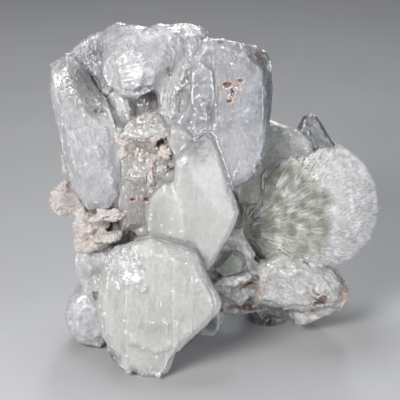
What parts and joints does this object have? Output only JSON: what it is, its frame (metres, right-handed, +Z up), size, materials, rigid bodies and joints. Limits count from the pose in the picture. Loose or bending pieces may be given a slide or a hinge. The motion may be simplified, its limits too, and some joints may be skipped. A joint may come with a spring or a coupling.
{
  "type": "mordenite and stilbite mineral cluster",
  "caption": "Natural mineral specimen: pale stilbite blades grown together in a cluster, with a fanned ball of white mordenite needles, that stands on its broken base.",
  "frame": {"origin": "under the middle of the cluster, on the plane that its broken feet stand on", "axes": "+Z up, +X to the side of the mordenite ball, -Y towards the side with the large front crystal"},
  "size_m": [0.0791, 0.0548, 0.0781],
  "materials": {
    "creamy_stilbite": "satin, creamy, slightly translucent",
    "pearly_stilbite": "pearly, striated, translucent at the edges",
    "sugary_stilbite": "sugary, sparkling grains",
    "grey_stilbite": "glassy grey, see-through at the edges",
    "mordenite_needles": "silky needles, felted on the outside",
    "pink_crust": "dull, bumpy crust",
    "clear_crystal": "clear, polished natural faces"
  },
  "bodies": {
    "root": {"front_crystal": "creamy_stilbite", "middle_blade": "creamy_stilbite", "right_slab": "pearly_stilbite", "left_column": "pearly_stilbite", "top_sheaf": "pearly_stilbite", "clear_crystal": "clear_crystal", "pocket_crystals": "pearly_stilbite", "lower_left_crystals": "pearly_stilbite", "base_crust": "pink_crust", "lower_right_crystals": "sugary_stilbite", "grey_crystal": "grey_stilbite", "spike_crystal": "grey_stilbite", "pocket_crust": "pink_crust", "left_crust": "pink_crust", "rear_crystals": "pearly_stilbite", "mordenite_ball": "mordenite_needles"}
  },
  "joints": []
}
